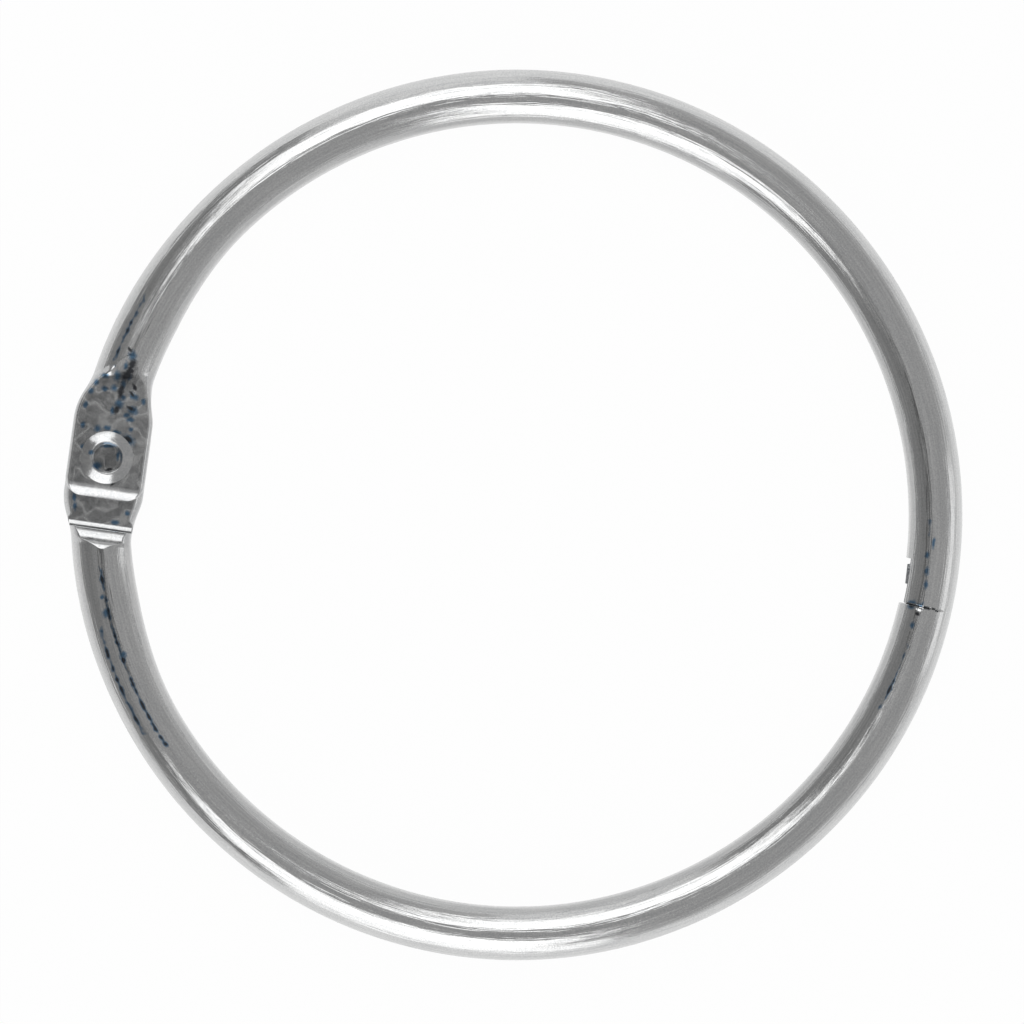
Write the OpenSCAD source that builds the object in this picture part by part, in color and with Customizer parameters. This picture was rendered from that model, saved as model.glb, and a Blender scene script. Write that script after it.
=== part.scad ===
// Hinged binder ring: two half rings of round steel wire, lapped and riveted at the hinge,
// with a tongue on one free end that closes into a slot in the other.
// The ring lies in the XY plane about the origin, the hinge on -X and the closure near +X.

/* [Ring] */
// Inside diameter of the closed ring
inside_d = 50.8; // [44.5:0.1:63.5]
// Diameter of the wire
wire_d = 3.5; // [3.4:0.05:3.6]
// Width of the wire just past the hinge, where pressing the plate has spread it a little
swell_w = 3.85; // [3.7:0.05:4]
// Distance from the pivot at which the wire is round again
swell_to = 18; // [14:0.5:22]

/* [Hinge plates] */
// How far the pivot lies inside the wire's centreline
pivot_inset = 0.3; // [0.2:0.05:0.4]
// Width of a plate at the pivot
plate_w = 5.15; // [4.8:0.05:5.4]
// How far the plate's middle lies inside the pivot
plate_inset = 0.08; // [0:0.02:0.16]
// Height of a plate's outer face above the ring's mid-plane
plate_face = 1.5; // [1.45:0.01:1.55]
// Gap between the two lapped plates
lap_gap = 0.04; // [0.02:0.01:0.1]
// Distance from the pivot to a plate's straight end
plate_end = 2.65; // [2.4:0.05:2.9]
// Radius of the plate's two corners, seen from above
corner_r = 1.15; // [0.8:0.05:1.3]
// Radius of the rounding along the straight end
end_r = 1.3; // [1.1:0.05:1.5]
// Distance from the pivot to the foot of the pressed step
step_start = 4.25; // [4.15:0.05:4.35]
// Radius of the hollow at the foot of the step
foot_r = 0.6; // [0.4:0.05:0.8]
// Radius of the brow at the top of the step
brow_r = 1.1; // [0.9:0.05:1.2]
// Height of the brow from the ring's mid-plane
brow_z = 1.42; // [1.36:0.01:1.5]
// Radius of the last edge, rounded over from the brow to the wire's back
edge_r = 0.75; // [0.6:0.05:0.9]

/* [Rivet] */
// Diameter of the rivet's shank
shank_d = 2.3; // [2:0.05:2.5]
// Radial clearance of the shank in the plates
bore_clear = 0.04; // [0.02:0.01:0.08]
// Diameter of the domed head and of the rolled rim
head_d = 3.4; // [3:0.05:3.6]
// Height of the domed head and of the rim
head_h = 0.42; // [0.38:0.01:0.5]
// Radius of the dome that the rolled rim is part of
rim_r = 3.6; // [3.2:0.1:5]
// Diameter of the flat dimple's floor
dimple_d = 1.8; // [1.6:0.05:1.9]
// Depth of the dimple below the top of the rim
dimple_depth = 0.3; // [0.2:0.01:0.36]

/* [Closure] */
// Angle of the closure past the diameter through the hinge, in degrees
seam_angle = 4.84; // [0:0.01:8]
// Gap between the two end faces
seam_gap = 0.08; // [0.04:0.01:0.2]
// Chamfer round each end face
end_chamfer = 0.12; // [0.05:0.01:0.2]
// Length of the tongue past its end face
tongue_l = 2.65; // [2.4:0.05:2.9]
// Thickness of the tongue
tongue_t = 1.9; // [1.6:0.05:2]
// Clearance of the slot round the tongue's two faces and its outer edge
slot_clear = 0.06; // [0.04:0.01:0.1]
// How much deeper the slot is than the tongue is long
slot_extra = 0.25; // [0.15:0.05:0.4]

/* [Hidden] */
$fn = 96;
nickel = [0.74, 0.75, 0.76];

wire_r = wire_d / 2;
ring_r = (inside_d + wire_d) / 2;
hinge_r = ring_r - pivot_inset;
shank_r = shank_d / 2;

// The pressed end runs from the straight plate to the round wire. Distances are along the wire
// from the pivot.
spread_from = 2.3;   // the plate starts to narrow
spread_to = 5.5;     // and is down to the swell's width
bend_from = 2.4;     // the straight plate starts to bend into the ring
bend_to = 4.6;
waist_from = 3.85;   // the widest line starts to come back to mid-height
waist_to = 5.05;
back_to = 4.5;       // the section is down to the wire's back
square_from = 4.6;   // the outer face's shoulders start to round off
square_to = 5.8;
back_round_from = 5.3;  // and those at the wire's back, beyond the step's brow
back_round_to = 5.8;
run_out_from = 4.6;  // the outer face rises from here to the top of the wire
run_out_r = 9.75;    // on this radius
swell_from = 8;      // the swell starts to ease into the round wire
swell_inset = 0.12;  // how far its middle lies inside the wire's centreline
wire_lap = 0.05;     // how far the pressed end reaches into the wire
joint_inset = 0.01;  // how far inside the wire's skin it meets the wire
plate_square = 4;    // how square a plate's outer shoulders are: 2 is round
back_square = 2.6;   // and the wire's back at the step, which the press has spread
round_square = 2;
barrel = 0.55;       // half thickness of a plate over the height of its side curve
end_tilt = 45;       // slope at which the straight end's rounding stops

// The step's outline: two easy curves, and tight ones between them and the steep wall
easy_tilt = 27;
wall_tilt = 87;
nook_r = 0.2;
shoulder_r = 0.35;
past_skin = 0.005;   // how far past the wire's skin the dies' outlines go

mate_z = lap_gap / 2;
plate_mid = (plate_face + mate_z) / 2;
plate_side_r = (plate_face - mate_z) / 2 / barrel;
wire_start = (swell_to - wire_lap) / ring_r * 180 / PI;
loft_r = wire_r - joint_inset;

// Rivet
rim_seat = 0.02;      // play under the rolled rim
dimple_slope = 0.1;   // how much wider the dimple is at its mouth than at its floor
head_edge = 0.13;     // height of the domed head's straight edge

section_points = 40;
corner_steps = 6;
loft_steps = 28;
swell_steps = 8;
arc_steps = 6;
beyond = 1;          // how far a cutting tool reaches past what it cuts

// Closure, in a frame at the seam: x outwards from the ring's centre, y along the wire
seam_half_angle = seam_gap / 2 / ring_r * 180 / PI;
seam_pos = [ring_r * cos(seam_angle), -ring_r * sin(seam_angle)];
pivot_to_seam = norm(seam_pos + [hinge_r, 0]);
tongue_out = 0.75;       // outer edge of the tongue from the wire's centreline
neck_in = 1.25;          // inner edge of the tongue's neck
neck_l = 1.2;            // length of the neck
barb_in = [1.6, 1.74];   // inner edge of the barb, at its heel and near its tip
barb_slope = 0.06;       // length over which the heel stands up
nose_in = 1.3;
nose_out = 0.25;
nose_l = 0.15;           // length of the tip's inner bevel
nose_bevel = 0.4;        // length of the tip's outer bevel

function mix(a, b, w) = a + (b - a) * w;
function smooth(t) = let (c = max(0, min(1, t))) c * c * (3 - 2 * c);
function blend(s, from, to) = smooth((s - from) / (to - from));

// A curve that runs on and down from a point, its slope going from one angle to another
function curved(start, r, from, to) = [
    for (i = [0:arc_steps])
        let (a = mix(from, to, i / arc_steps))
        start + r * [abs(sin(a) - sin(from)), -abs(cos(a) - cos(from))]
];

// One rounding of a superellipse: square = 2 gives a circle's
function rounded(v, square) = sign(v) * pow(abs(v), 2 / square);

// How much of the swell is left at distance s
function swell(s) = 1 - blend(s, swell_from, swell_to);

// Half width of the pressed end, rounded in plan at the two corners of the plate
function half_w(s) =
    let (
        wire_w = mix(loft_r, swell_w / 2, swell(s)),
        into_corner = corner_r - min(corner_r, s + plate_end)
    )
    mix(plate_w / 2, wire_w, blend(s, spread_from, spread_to))
    - corner_r + sqrt(max(0, corner_r * corner_r - into_corner * into_corner));

// Centre of the section at distance s, and the angle of its plane about Z
function bend(s) = blend(s, bend_from, bend_to);
function section_angle(s) = s / ring_r * 180 / PI;
function section_centre(s) =
    let (r = ring_r - swell_inset * swell(s))
    mix([plate_inset - hinge_r, s], r * [-cos(section_angle(s)), sin(section_angle(s))], bend(s));

// One section: square-shouldered above its widest line, and below it at the step
function section(s) =
    let (
        centre = section_centre(s),
        turn = bend(s) * section_angle(s),
        w = half_w(s),
        waist = mix(plate_mid, 0, blend(s, waist_from, waist_to)),
        above = loft_r - waist,
        below = mix(plate_side_r, loft_r + waist, blend(s, waist_from, back_to)),
        square = mix(plate_square, round_square, blend(s, square_from, square_to)),
        square_below = mix(round_square, back_square,
            blend(s, waist_from, back_to) * (1 - blend(s, back_round_from, back_round_to)))
    )
    [for (i = [0:section_points - 1])
        let (
            a = 360 * i / section_points,
            top = sin(a) > 0,
            shape = top ? square : square_below,
            out = w * rounded(cos(a), shape),
            z = waist + (top ? above : below) * rounded(sin(a), shape)
        )
        [centre.x - out * cos(turn), centre.y + out * sin(turn), z]
    ];

// The sections' places: close together round the corners and along the blend, then wider
// along the swell
stations = concat(
    [for (i = [0:corner_steps]) -plate_end + corner_r * (1 - cos(90 * i / corner_steps))],
    [for (i = [0:loft_steps]) mix(spread_from, swell_from, i / loft_steps)],
    [for (i = [1:swell_steps]) mix(swell_from, swell_to, i / swell_steps)]
);

module skin(rings) {
    n = len(rings[0]);
    last = len(rings) - 1;
    polyhedron(
        points = [for (ring = rings) each ring],
        faces = concat(
            [[for (i = [0:n - 1]) i]],
            [for (k = [0:last - 1], i = [0:n - 1])
                each [
                    [k * n + i, (k + 1) * n + i, (k + 1) * n + (i + 1) % n],
                    [k * n + i, (k + 1) * n + (i + 1) % n, k * n + (i + 1) % n]
                ]],
            [[for (i = [n - 1:-1:0]) last * n + i]]
        )
    );
}

// Cuts with an outline drawn in the plane of Y and Z, right across the hinge
module across_hinge(outline) {
    translate([-hinge_r - plate_w, 0, 0])
        rotate([90, 0, 90])
            linear_extrude(2 * plate_w)
                polygon(outline);
}

// What the press takes off the outer face: the plate's rounded end, its flat and the run-out
module outer_die() {
    end_l = end_r * sin(end_tilt);
    run_out_tilt = acos(1 - (wire_r - plate_face + past_skin) / run_out_r);
    end_curve = [
        for (i = [0:arc_steps])
            let (a = end_tilt * (1 - i / arc_steps))
            [end_l - plate_end - end_r * sin(a), plate_face - end_r * (1 - cos(a))]
    ];
    run_out = [
        for (i = [0:arc_steps])
            let (a = run_out_tilt * i / arc_steps)
            [run_out_from + run_out_r * sin(a), plate_face + run_out_r * (1 - cos(a))]
    ];
    across_hinge(concat(
        [[-plate_end - beyond, end_curve[0].y]],
        end_curve,
        run_out,
        [[run_out[arc_steps].x, wire_d], [-plate_end - beyond, wire_d]]
    ));
}

// What it takes off the mating face: half the wire, then a steep step down to a brow, and a
// last edge from there to the wire's back
module mating_die() {
    foot = curved([step_start, mate_z], foot_r, 0, easy_tilt);
    foot_nook = curved(foot[arc_steps], nook_r, easy_tilt, wall_tilt);
    wall_foot = foot_nook[arc_steps];
    brow_h = brow_r * (1 - cos(easy_tilt)) + shoulder_r * (cos(easy_tilt) - cos(wall_tilt));
    wall_h = wall_foot.y + brow_z - brow_h;
    wall_head = wall_foot + wall_h * [1 / tan(wall_tilt), -1];
    shoulder = curved(wall_head, shoulder_r, wall_tilt, easy_tilt);
    brow = curved(shoulder[arc_steps], brow_r, easy_tilt, 0);
    edge_tilt = acos(1 - (wire_r + past_skin - brow_z) / edge_r);
    edge = curved(brow[arc_steps], edge_r, edge_tilt, 0);
    across_hinge(concat(
        [[-plate_end - beyond, mate_z]],
        foot, foot_nook, shoulder, brow, edge,
        [[edge[arc_steps].x, -wire_d], [-plate_end - beyond, -wire_d]]
    ));
}

// The hinge end of a half ring: its plate lies above the mid-plane
module pressed_end() {
    difference() {
        skin([for (s = stations) section(s)]);
        outer_die();
        mating_die();
        translate([-hinge_r, 0, -wire_d])
            cylinder(r = shank_r + bore_clear, h = 2 * wire_d);
    }
}

// A ring of triangular section that breaks the edge of an end face. The face lies on y = 0
// and the wire beyond it, towards +y.
module end_chamfer_tool() {
    rotate([-90, 0, 0])
        rotate_extrude()
            polygon([
                [wire_r - end_chamfer, 0],
                [wire_r - end_chamfer, -beyond],
                [wire_r + beyond, -beyond],
                [wire_r + beyond, end_chamfer + beyond],
                [wire_r, end_chamfer]
            ]);
}

// A half ring from its end face at the given angle round to the hinge
module half_ring(end_angle) {
    difference() {
        rotate([0, 0, end_angle])
            rotate_extrude(angle = 180 - wire_start - end_angle)
                translate([ring_r, 0])
                    circle(wire_r);
        rotate([0, 0, end_angle])
            translate([ring_r, 0, 0])
                end_chamfer_tool();
    }
    pressed_end();
}

// Moves its children to the seam: x outwards, y along the wire to the slotted half
module at_seam() {
    rotate([0, 0, -seam_angle])
        translate([ring_r, 0, 0])
            children();
}

// Space inside a given distance from the hinge pin's axis. A tongue and a slot that end on
// such a curve slide past each other as the ring opens.
module swing_space(r) {
    translate([-hinge_r, 0, -wire_d])
        cylinder(r = r, h = 2 * wire_d, $fn = 720);
}

// The tongue: a flat blade in the ring's plane, with a barb on its inner edge
module tongue() {
    intersection() {
        at_seam()
            translate([0, 0, -tongue_t / 2])
                linear_extrude(tongue_t)
                    polygon([
                        [-neck_in, -beyond],
                        [-neck_in, neck_l],
                        [-barb_in[0], neck_l + barb_slope],
                        [-barb_in[1], tongue_l - nose_l],
                        [-nose_in, tongue_l],
                        [nose_out, tongue_l],
                        [wire_r, tongue_l - nose_bevel - wire_r + nose_out + tongue_out],
                        [wire_r, -beyond]
                    ]);
        swing_space(pivot_to_seam + tongue_out);
    }
}

// The slot: cut in from the end face, open towards the ring's inside
module slot() {
    slot_t = tongue_t + 2 * slot_clear;
    intersection() {
        at_seam()
            translate([-wire_r - beyond, -beyond, -slot_t / 2])
                cube([wire_d + beyond, beyond + tongue_l + slot_extra, slot_t]);
        swing_space(pivot_to_seam + tongue_out + slot_clear);
    }
}

module slotted_half() {
    color(nickel)
        difference() {
            half_ring(-seam_angle + seam_half_angle);
            slot();
        }
}

module tongued_half() {
    color(nickel) {
        rotate([180, 0, 0])
            half_ring(seam_angle + seam_half_angle);
        tongue();
    }
}

// A semi-tubular rivet: a domed head under the lower plate, a shank through both plates, and
// an end rolled over the upper plate into a broad rim round a flat dimple
module hinge_rivet() {
    top = plate_face + head_h;
    dimple_floor = top - dimple_depth;
    mouth_r = dimple_d / 2 + dimple_slope;
    rim_centre = top - sqrt(rim_r * rim_r - mouth_r * mouth_r);
    dome_h = head_h - head_edge;
    dome_r = (head_d * head_d / 4 + dome_h * dome_h) / (2 * dome_h);
    color(nickel)
        translate([-hinge_r, 0, 0])
            rotate_extrude() {
                translate([0, -plate_face - head_edge])
                    square([shank_r, dimple_floor + plate_face + head_edge]);
                intersection() {
                    translate([0, rim_centre])
                        circle(rim_r, $fn = 4 * $fn);
                    polygon([
                        [0, plate_face + rim_seat],
                        [head_d / 2, plate_face + rim_seat],
                        [head_d / 2, top],
                        [mouth_r, top],
                        [dimple_d / 2, dimple_floor],
                        [0, dimple_floor]
                    ]);
                }
                intersection() {
                    translate([0, dome_r - plate_face - head_h])
                        circle(dome_r, $fn = 4 * $fn);
                    translate([0, -plate_face - head_h])
                        square([head_d / 2, head_h]);
                }
            }
}

slotted_half();
tongued_half();
hinge_rivet();
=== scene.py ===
import math

import bmesh
import bpy
import numpy as np
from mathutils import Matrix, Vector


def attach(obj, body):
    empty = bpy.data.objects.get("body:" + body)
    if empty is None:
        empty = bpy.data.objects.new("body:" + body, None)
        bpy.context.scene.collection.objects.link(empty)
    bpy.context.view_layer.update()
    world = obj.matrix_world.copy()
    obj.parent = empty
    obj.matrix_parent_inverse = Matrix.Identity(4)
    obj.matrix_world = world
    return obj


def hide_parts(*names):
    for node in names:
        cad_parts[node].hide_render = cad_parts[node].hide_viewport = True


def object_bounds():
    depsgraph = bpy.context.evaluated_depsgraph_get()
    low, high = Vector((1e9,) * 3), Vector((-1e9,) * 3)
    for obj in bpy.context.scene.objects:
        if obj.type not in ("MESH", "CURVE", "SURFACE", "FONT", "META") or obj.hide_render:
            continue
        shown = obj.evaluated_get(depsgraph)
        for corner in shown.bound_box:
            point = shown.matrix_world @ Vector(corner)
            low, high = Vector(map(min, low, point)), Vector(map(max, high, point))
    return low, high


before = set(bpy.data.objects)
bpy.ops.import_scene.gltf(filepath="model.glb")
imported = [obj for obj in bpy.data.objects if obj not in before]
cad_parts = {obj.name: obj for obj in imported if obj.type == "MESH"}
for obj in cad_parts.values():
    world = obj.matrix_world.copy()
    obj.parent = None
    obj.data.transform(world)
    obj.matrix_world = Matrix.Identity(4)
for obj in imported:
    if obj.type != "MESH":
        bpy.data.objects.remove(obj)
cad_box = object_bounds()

# ---- Camera -------------------------------------------------------------------------------
# The camera looks straight down the ring's axis from well above, with the hinge on the left and
# a little high, and the closure on the right and a little low.
MM = 0.001
INSIDE_D = 50.8                 # inside diameter of the closed ring, mm
INSIDE_D_PIXELS = 783
FRAME_PIXELS = 1024
RING_CENTRE_PIXELS = (517.0, 514.9)
VIEW_TURN = math.radians(7.96)  # the view's up, counted from +Y
CAMERA_HEIGHT = 2000            # mm
SENSOR = 36.0                   # mm

mm_per_pixel = INSIDE_D / INSIDE_D_PIXELS
view_right = np.array([math.cos(VIEW_TURN), math.sin(VIEW_TURN)])
view_up = np.array([-math.sin(VIEW_TURN), math.cos(VIEW_TURN)])
off_right = (FRAME_PIXELS / 2 - RING_CENTRE_PIXELS[0]) * mm_per_pixel
off_up = (RING_CENTRE_PIXELS[1] - FRAME_PIXELS / 2) * mm_per_pixel

camera_data = bpy.data.cameras.new("camera")
camera_data.sensor_width = SENSOR
camera_data.lens = SENSOR * CAMERA_HEIGHT / (FRAME_PIXELS * mm_per_pixel)
camera_data.clip_start = 10 * MM
camera = bpy.data.objects.new("camera", camera_data)
camera.location = (*((off_right * view_right + off_up * view_up) * MM), CAMERA_HEIGHT * MM)
camera.rotation_euler = (0, 0, VIEW_TURN)
bpy.context.scene.collection.objects.link(camera)
bpy.context.scene.camera = camera

# ---- Slotted half ring --------------------------------------------------------------------
# The upper half: drawn steel wire bent to half a circle and nickel plated. One end is pressed
# between dies to a flat plate of half the wire's thickness, which laps over the other half's
# plate and is punched for the rivet. The free end is sawn with a slot for the tongue.
HAIR = 0.003                    # keeps the mesh inside the solid model's faceted wire
WIRE_D = 3.5
WIRE_R = WIRE_D / 2 - HAIR
RING_R = (INSIDE_D + WIRE_D) / 2
SWELL_R = 1.925       # half width just past the hinge, where pressing has spread the wire
SWELL_INSET = 0.12    # how far the swell's middle lies inside the wire's centre line
SWELL_FROM, SWELL_TO = 8.0, 18.0
HINGE_R = 26.85       # the pivot's distance from the ring's centre
PLATE_W = 5.15
PLATE_INSET = 0.08    # how far the plate's middle lies inside the pivot
PLATE_FACE = 1.5      # height of a plate's outer face above the mid-plane
MATE_Z = 0.02         # and of its mating face
PLATE_END = 2.65      # from the pivot to the plate's straight end
CORNER_R = 1.15
END_R = 1.3           # rounding of the plate's straight end, as far as a slope of END_TILT
END_TILT = math.radians(45)
RUN_OUT_FROM = 4.6    # the outer die runs out on an arc from here to the top of the wire
RUN_OUT_R = 9.75
STEP_START = 4.25     # foot of the pressed step, from the pivot
FOOT_R = 0.6          # its hollow foot and rounded brow, up to a slope of EASY_TILT
BROW_R = 1.1
EASY_TILT = math.radians(27)
NOOK_R = 0.2          # the tight bends between them and the steep wall
SHOULDER_R = 0.35
WALL_TILT = math.radians(87)
BROW_Z = 1.42         # height of the brow, from the mid-plane
EDGE_R = 0.75         # the last edge, rounded over from there to the wire's back
PAST_BACK = 0.005     # and a little past it
BORE_R = 1.19
BORE_TOOL_H = 8       # longer than the wire is thick
ROUND_SEGMENTS = 128

# Where the form changes along a half, as distances from the pivot
BEND_IN = (2.4, 4.6)        # the straight plate goes over into the ring's curve
NARROW = (2.3, 5.5)         # the plate's width comes down to the wire's
CROWN_UP = (3.85, 5.05)     # the flat top rises to the round one
BACK_DOWN = (3.85, 4.5)     # and the flat underside drops to the wire's back
TURN_ROUND = (4.6, 5.8)     # square-sided sections turn round
BACK_ROUND = (5.3, 5.8)
SQUARE_UP = (7.5, 11.0)     # sections parallel to the plate's end turn square to the wire
DIES_END = 8.0              # and the dies don't touch the wire past here

# The shape of a section
ELLIPSE = 2           # its outline is an ellipse at this power, and squarer above it
PLATE_SQUARE = 4
BACK_SQUARE = 0.6     # how much squarer the back is past the foot
MATE_CUT = 0.55       # the mating die cuts the plate's section off at this share of its depth
PRESS_EDGE = 0.035    # softness of the edges that the dies leave
FINE_POINTS = 2400    # points round an outline before it becomes mesh
SETTLE = 6            # rounds of correction that find a point on a curve

# The end face at the closure, and the rounding of its edge
SEAM_ANGLE = math.radians(4.84)
SEAM_GAP = 0.004
TIP_ROUND = 0.11
SHARP_OUTSIDE = (0.4, 0.7)  # how far out it fades, as a share of the wire's radius
OUTSIDE_ROUND = 0.04        # and the share of it that is left there
SEAM_SHADE_SPANS = ((-1.2, -0.6), (-0.12, 0.28), (0.64, 0.85))  # where the end's edge is dull sheared steel, out from the middle; its dark tone is painted shade in the seam
SEAM_SHADE_SECTIONS = 6           # and how many of the last sections that takes in


def blend(s, start, end):
    """0 as far as start, 1 past end, and a smooth rise between."""
    t = np.clip((s - start) / (end - start), 0, 1)
    return t * t * (3 - 2 * t)


def mix(a, b, w):
    """From a, at a weight of 0, to b, at 1."""
    return a + (b - a) * w


def curved(start, radius, tilts):
    """Points down a curve of the step: along y and down z, its slope passing through tilts."""
    return [(start[0] + radius * abs(math.sin(t) - math.sin(tilts[0])),
             start[1] - radius * abs(math.cos(t) - math.cos(tilts[0]))) for t in tilts]


# The step in section, from its foot to the wire's back
easy = np.linspace(0, EASY_TILT, 14)
tight = np.linspace(EASY_TILT, WALL_TILT, 12)
step = curved((STEP_START, MATE_Z), FOOT_R, easy)
step += curved(step[-1], NOOK_R, tight)[1:]
turn_h = math.cos(EASY_TILT) - math.cos(WALL_TILT)
wall_h = step[-1][1] + BROW_Z - BROW_R * (1 - math.cos(EASY_TILT)) - SHOULDER_R * turn_h
step.append((step[-1][0] + wall_h / math.tan(WALL_TILT), step[-1][1] - wall_h))
step += curved(step[-1], SHOULDER_R, tight[::-1])[1:]
step += curved(step[-1], BROW_R, easy[::-1])[1:]
edge_tilt = math.acos(1 - (WIRE_R + PAST_BACK - BROW_Z) / EDGE_R)
step += curved((step[-1][0] + PAST_BACK, -BROW_Z), EDGE_R, np.linspace(edge_tilt, 0, 16))
step_y, step_z = np.array(step).T


def outer_face(y):
    """Height of the outer die's face over the hinge: rounded end, flat, run-out to the wire."""
    from_end = max(END_R * math.sin(END_TILT) - PLATE_END - y, 0)
    past = min(max(y - RUN_OUT_FROM, 0), RUN_OUT_R)
    rounding = END_R - math.sqrt(END_R**2 - from_end**2)
    return PLATE_FACE - rounding + RUN_OUT_R - math.sqrt(RUN_OUT_R**2 - past**2)


def mating_face(y):
    """Height of the mating die's face: flat, then the step down to the wire's back."""
    return np.interp(y, step_y, step_z, right=-2 * WIRE_R)


def centre_line(s):
    """Middle of the wire at the distance s along it from the pivot, and the way it has turned."""
    bent = blend(s, *BEND_IN)
    radius = RING_R - SWELL_INSET * (1 - blend(s, SWELL_FROM, SWELL_TO))
    turn = s / RING_R
    on_arc = radius * np.array([-math.cos(turn), math.sin(turn)])
    return mix(np.array([PLATE_INSET - HINGE_R, s]), on_arc, bent), bent * turn


def wire_section(s, tip_s):
    """Outline of the half ring at the distance s, with the angle of each point and whether a die
    made it. Over the hinge the sections are parallel to the plate's end, as the dies' steps are,
    and further on they stand square to the wire."""
    centre, turn = centre_line(s)
    angle = turn * blend(s, *SQUARE_UP)
    into_corner = CORNER_R - min(CORNER_R, s + PLATE_END)
    wire_w = mix(SWELL_R, WIRE_R, blend(s, SWELL_FROM, SWELL_TO))
    half_w = mix(PLATE_W / 2, wire_w, blend(s, *NARROW)) - CORNER_R
    half_w += math.sqrt(max(0, CORNER_R**2 - into_corner**2))
    # The waist is where the section is widest
    waist = mix((PLATE_FACE + MATE_Z) / 2, 0, blend(s, *CROWN_UP))
    above = WIRE_R - waist
    past_foot = blend(s, *BACK_DOWN)
    below = mix((PLATE_FACE - MATE_Z) / 2 / MATE_CUT, WIRE_R + waist, past_foot)
    square = mix(PLATE_SQUARE, ELLIPSE, blend(s, *TURN_ROUND))
    square_below = ELLIPSE + BACK_SQUARE * past_foot * (1 - blend(s, *BACK_ROUND))
    into_tip = TIP_ROUND - min(TIP_ROUND, tip_s - s)

    a = np.linspace(0, 2 * math.pi, FINE_POINTS, endpoint=False)
    # The end face's edge is rounded most on top and inside, and hardly at all outside
    rounded = mix(1, OUTSIDE_ROUND, blend(np.cos(a), *SHARP_OUTSIDE))
    shrink = 1 - rounded * (TIP_ROUND - math.sqrt(TIP_ROUND**2 - into_tip**2)) / WIRE_R
    power = np.where(np.sin(a) > 0, 2 / square, 2 / square_below)
    out = half_w / math.cos(turn - angle) * shrink * np.sign(np.cos(a)) * np.abs(np.cos(a)) ** power
    rise = np.where(np.sin(a) > 0, above, below) * shrink
    z = waist + rise * np.sign(np.sin(a)) * np.abs(np.sin(a)) ** power
    top = mating = np.zeros(len(a), bool)
    if s < DIES_END:
        highest, lowest = outer_face(centre[1]), mating_face(centre[1])
        top, mating = z > highest, z < lowest
        z = np.clip(z, lowest, highest)
    x = centre[0] - out * math.cos(angle)
    y = centre[1] + out * math.sin(angle)
    return np.stack([x, y, z], 1), a, top, mating


def corner_angles(a, top, mating):
    """Where the outline turns from a pressed face to a side. A round section has nominal corners."""
    narrow = math.radians(80)
    right = min(a[top].min(), narrow) if top.any() else narrow
    left = max(a[top].max(), math.pi - narrow) if top.any() else math.pi - narrow
    under_left = min(a[mating].min(), math.pi + narrow) if mating.any() else math.pi + narrow
    under_right = max(a[mating].max(), 2 * math.pi - narrow) if mating.any() else 2 * math.pi - narrow
    return right, left, under_left, under_right


def resampled(points, a, corners, edge=0.1, on_edge=6, on_side=18, on_face=14):
    """The outline with its edges softened, and with mesh points kept close along them."""
    closed = np.vstack([points, points[:1]])
    length = np.concatenate([[0], np.cumsum(np.linalg.norm(np.diff(closed, axis=0), axis=1))])
    total = length[-1]
    fine_s = np.linspace(0, total, FINE_POINTS, endpoint=False)
    fine = np.stack([np.interp(fine_s, length, closed[:, k]) for k in range(3)], 1)
    reach = max(1, int(round(3 * PRESS_EDGE / (total / FINE_POINTS))))
    kernel = np.exp(-0.5 * (np.arange(-reach, reach + 1) * (total / FINE_POINTS) / PRESS_EDGE) ** 2)
    kernel /= kernel.sum()
    wrapped = np.vstack([fine[-reach:], fine, fine[:reach]])
    soft = np.stack([np.convolve(wrapped[:, k], kernel, "valid") for k in range(3)], 1)
    at = np.interp(corners, np.append(a, 2 * math.pi), length)
    spread = []
    ends = np.append(at[1:], at[0] + total)
    for k, (start, end) in enumerate(zip(at, ends)):
        count = on_face if k in (0, 2) else on_side
        spread.append(start + np.linspace(-edge, edge, on_edge, endpoint=False))
        spread.append(np.linspace(start + edge, end - edge, count, endpoint=False))
    spread = np.concatenate(spread) % total
    soft_closed = np.vstack([soft, soft[:1]])
    soft_s = np.append(fine_s, total)
    return np.stack([np.interp(spread, soft_s, soft_closed[:, k]) for k in range(3)], 1)


def stations(tip_s):
    """Distances of the sections: closest on the step's bends and at the rounded ends."""
    step_s = []
    for y in step_y:
        s = y
        for _ in range(SETTLE):
            s += y - centre_line(s)[0][1]
        step_s.append(s)
    gap, close, even = 0.04, 0.06, 0.12
    round_wire = RING_R * math.radians(0.9)
    run_out_end, swell_end = 7, SQUARE_UP[1]
    return np.concatenate([
        # the plate's rounded corners, its flat, and the way in to the step
        CORNER_R * (1 - np.cos(np.linspace(0, math.pi / 2, 20))) - PLATE_END,
        np.arange(CORNER_R - PLATE_END + close, BEND_IN[0], even),
        np.arange(BEND_IN[0], STEP_START - gap, 2 * gap),
        step_s,
        # the run-out, the swell, the round wire, and its end
        np.arange(step_s[-1] + gap, run_out_end, close),
        np.arange(run_out_end, swell_end, even),
        np.arange(swell_end, tip_s - TIP_ROUND, round_wire),
        tip_s - TIP_ROUND * np.cos(np.linspace(0, math.pi / 2, 8)),
    ])


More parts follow.
